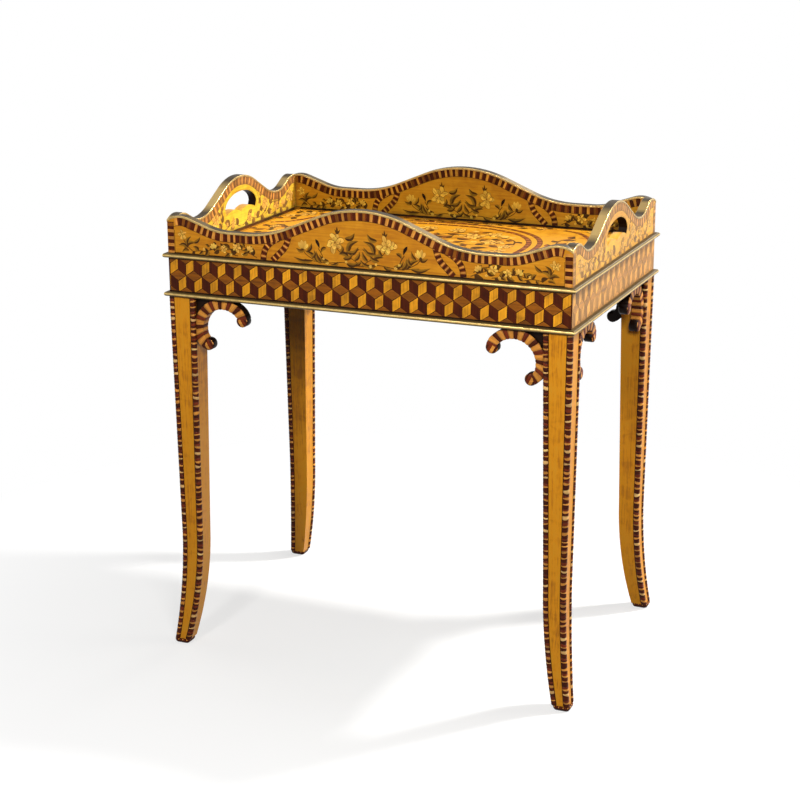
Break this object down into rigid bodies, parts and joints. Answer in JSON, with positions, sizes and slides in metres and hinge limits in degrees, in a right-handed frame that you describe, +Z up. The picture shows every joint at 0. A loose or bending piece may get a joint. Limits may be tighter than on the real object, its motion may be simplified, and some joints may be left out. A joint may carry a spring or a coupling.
{
  "type": "tray top tea table",
  "caption": "Tea table on sabre legs with scroll brackets, a parquetry frieze between brass beads and a lift-off galleried tray.",
  "frame": {"origin": "on the floor, under the middle of the table", "axes": "+Z up, front towards -Y, +X to the right along the table's length"},
  "size_m": [0.6752, 0.4512, 0.7344],
  "materials": {
    "satinwood": "polished",
    "gallery_marquetry": "polished",
    "tray_marquetry": "polished",
    "parquetry": "polished",
    "banding": "polished",
    "scroll_banding": "polished",
    "carcase_wood": "planed, unfinished",
    "dowel_wood": "unfinished",
    "brass": "aged, rubbed",
    "screw_steel": "dull"
  },
  "bodies": {
    "stand": {"bead_pins": "brass", "bearer_left": "carcase_wood", "bearer_right": "carcase_wood", "brace_screws": "screw_steel", "corner_brace_back_left": "carcase_wood", "corner_brace_back_right": "carcase_wood", "corner_brace_front_left": "carcase_wood", "corner_brace_front_right": "carcase_wood", "frieze_veneer_back": "parquetry", "frieze_veneer_front": "parquetry", "frieze_veneer_left": "parquetry", "frieze_veneer_right": "parquetry", "leg_back_left": "satinwood", "leg_back_right": "satinwood", "leg_beads_back_left": "banding", "leg_beads_back_right": "banding", "leg_beads_front_left": "banding", "leg_beads_front_right": "banding", "leg_front_left": "satinwood", "leg_front_right": "satinwood", "lower_bead_back": "brass", "lower_bead_front": "brass", "lower_bead_left": "brass", "lower_bead_right": "brass", "rail_back": "carcase_wood", "rail_front": "carcase_wood", "rail_left": "carcase_wood", "rail_right": "carcase_wood", "scroll_back_left": "scroll_banding", "scroll_back_right": "scroll_banding", "scroll_dowels": "dowel_wood", "scroll_front_left": "scroll_banding", "scroll_front_right": "scroll_banding", "scroll_left_back": "scroll_banding", "scroll_left_front": "scroll_banding", "scroll_right_back": "scroll_banding", "scroll_right_front": "scroll_banding", "toe_back_left": "banding", "toe_back_right": "banding", "toe_front_left": "banding", "toe_front_right": "banding", "upper_bead_back": "brass", "upper_bead_front": "brass", "upper_bead_left": "brass", "upper_bead_right": "brass"},
    "tray": {"cap_pins": "brass", "floor_screws": "screw_steel", "gallery_back": "gallery_marquetry", "gallery_cap_back": "brass", "gallery_cap_front": "brass", "gallery_cap_left": "brass", "gallery_cap_right": "brass", "gallery_front": "gallery_marquetry", "gallery_left": "gallery_marquetry", "gallery_right": "gallery_marquetry", "gallery_splines": "dowel_wood", "tray_floor": "tray_marquetry"}
  },
  "joints": [
    {"name": "tray_lift", "type": "slide", "parent": "stand", "child": "tray", "axis": [0, 0, 1], "range_m": [0, 0.12]}
  ]
}
